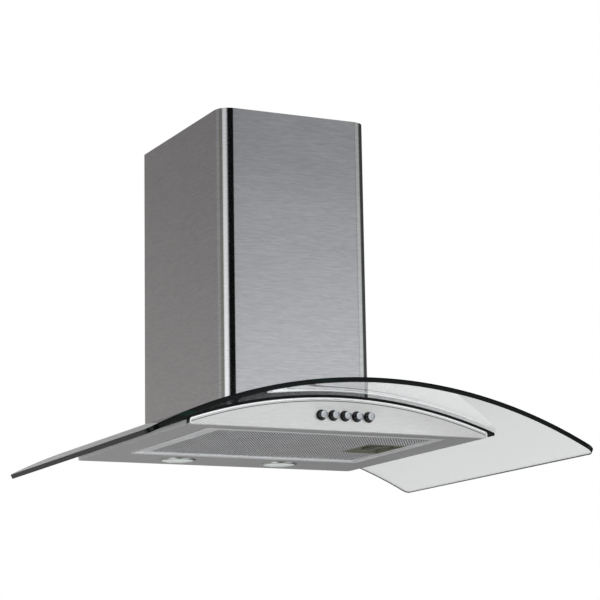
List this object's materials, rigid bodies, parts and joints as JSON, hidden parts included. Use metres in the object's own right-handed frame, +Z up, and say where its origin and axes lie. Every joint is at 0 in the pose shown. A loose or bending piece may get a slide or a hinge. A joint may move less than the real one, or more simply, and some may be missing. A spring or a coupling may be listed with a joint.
{
  "type": "curved glass range hood",
  "caption": "Wall-mounted chimney range hood with an arched glass canopy, brushed steel chimney, push buttons, hinged grease filter and lamps.",
  "frame": {"origin": "on the wall plane, at the middle of the hood, level with its steel underside", "axes": "+X to the right as seen from the room, +Y into the wall, +Z up"},
  "size_m": [0.6, 0.4885, 0.4619],
  "materials": {
    "brushed_steel": "brushed, grain from side to side",
    "body_steel": "satin grey",
    "bright_trim": "polished",
    "button_metal": "satin",
    "canopy_glass": "clear, tempered, polished edges",
    "lamp_glass": "clear moulded",
    "lamp_ring": "satin chrome",
    "reflector": "bright",
    "black_rubber": "matt",
    "black_plastic": "satin moulded",
    "olive_plastic": "satin moulded",
    "grey_plastic": "moulded",
    "galvanised_steel": "galvanised sheet",
    "filter_aluminium": "mill finish",
    "zinc_steel": "zinc plated",
    "motor_paint": "dark enamel"
  },
  "bodies": {
    "hood": {"casing": "body_steel", "top_plate": "body_steel", "glass_seal": "black_rubber", "glass_canopy": "canopy_glass", "cutout_seal": "black_rubber", "glass_clamp_left": "galvanised_steel", "glass_clamp_right": "galvanised_steel", "clamp_pads": "black_rubber", "case_screws": "zinc_steel", "blower_box": "galvanised_steel", "blower_cover": "galvanised_steel", "scroll_left": "grey_plastic", "scroll_right": "grey_plastic", "fan_motor": "motor_paint", "motor_bracket": "galvanised_steel", "outlet_spigot": "grey_plastic", "flap_pins": "zinc_steel", "motor_capacitor": "filter_aluminium", "terminal_box": "grey_plastic", "cable_gland": "black_plastic", "control_panel": "brushed_steel", "panel_rim": "bright_trim", "panel_backing": "black_plastic", "button_collars": "black_plastic", "switch_modules": "black_plastic", "switch_bracket": "galvanised_steel", "filter_lip": "bright_trim", "lamp_ring_left": "lamp_ring", "lamp_ring_right": "lamp_ring", "lamp_lens_left": "lamp_glass", "lamp_lens_right": "lamp_glass", "lamp_cup_left": "reflector", "lamp_cup_right": "reflector", "lamp_bulb_left": "lamp_glass", "lamp_bulb_right": "lamp_glass", "lamp_driver": "grey_plastic", "chimney_cover": "brushed_steel"},
    "grease_filter": {"filter_frame": "filter_aluminium", "filter_outer_mesh": "filter_aluminium", "filter_core": "filter_aluminium", "filter_inner_mesh": "filter_aluminium", "latch_cup": "olive_plastic"},
    "latch_slider": {"filter_latch": "black_plastic"},
    "fan_rotor": {"fan_shaft": "zinc_steel", "fan_hub": "grey_plastic", "fan_wheel": "grey_plastic"},
    "flap_left": {"outlet_flap_left": "grey_plastic"},
    "flap_right": {"outlet_flap_right": "grey_plastic"},
    "extension": {"chimney_extension": "brushed_steel", "wall_bracket": "galvanised_steel"},
    "button_1": {"button_1": "black_plastic", "button_cap_1": "button_metal"},
    "button_2": {"button_2": "black_plastic", "button_cap_2": "button_metal"},
    "button_3": {"button_3": "black_plastic", "button_cap_3": "button_metal"},
    "button_4": {"button_4": "black_plastic", "button_cap_4": "button_metal"},
    "button_5": {"button_5": "black_plastic", "button_cap_5": "button_metal"}
  },
  "joints": [
    {"name": "filter_hinge", "type": "hinge", "parent": "hood", "child": "grease_filter", "pos_m": [-0.1596, -0.229, 0.0028], "axis": [0, 1, 0], "range_deg": [0, 80]},
    {"name": "latch_slide", "type": "slide", "parent": "grease_filter", "child": "latch_slider", "axis": [-1, 0, 0], "range_m": [0, 0.006], "stiffness_N_per_m": 300, "springref_m": -0.004},
    {"name": "fan_spin", "type": "hinge", "parent": "hood", "child": "fan_rotor", "pos_m": [0, -0.12, 0.152], "axis": [1, 0, 0], "continuous": true},
    {"name": "flap_left_hinge", "type": "hinge", "parent": "hood", "child": "flap_left", "pos_m": [-0.004, -0.158, 0.278], "axis": [0, 1, 0], "range_deg": [0, 80]},
    {"name": "flap_right_hinge", "type": "hinge", "parent": "hood", "child": "flap_right", "pos_m": [0.004, -0.158, 0.278], "axis": [0, -1, 0], "range_deg": [0, 80]},
    {"name": "extension_slide", "type": "slide", "parent": "hood", "child": "extension", "axis": [0, 0, 1], "range_m": [0, 0.3]},
    {"name": "button_1_press", "type": "slide", "parent": "hood", "child": "button_1", "axis": [0, 1, 0], "range_m": [0, 0.003], "stiffness_N_per_m": 400, "springref_m": -0.002},
    {"name": "button_2_press", "type": "slide", "parent": "hood", "child": "button_2", "axis": [0, 1, 0], "range_m": [0, 0.003], "stiffness_N_per_m": 400, "springref_m": -0.002},
    {"name": "button_3_press", "type": "slide", "parent": "hood", "child": "button_3", "axis": [0, 1, 0], "range_m": [0, 0.003], "stiffness_N_per_m": 400, "springref_m": -0.002},
    {"name": "button_4_press", "type": "slide", "parent": "hood", "child": "button_4", "axis": [0, 1, 0], "range_m": [0, 0.003], "stiffness_N_per_m": 400, "springref_m": -0.002},
    {"name": "button_5_press", "type": "slide", "parent": "hood", "child": "button_5", "axis": [0, 1, 0], "range_m": [0, 0.003], "stiffness_N_per_m": 400, "springref_m": -0.002}
  ]
}
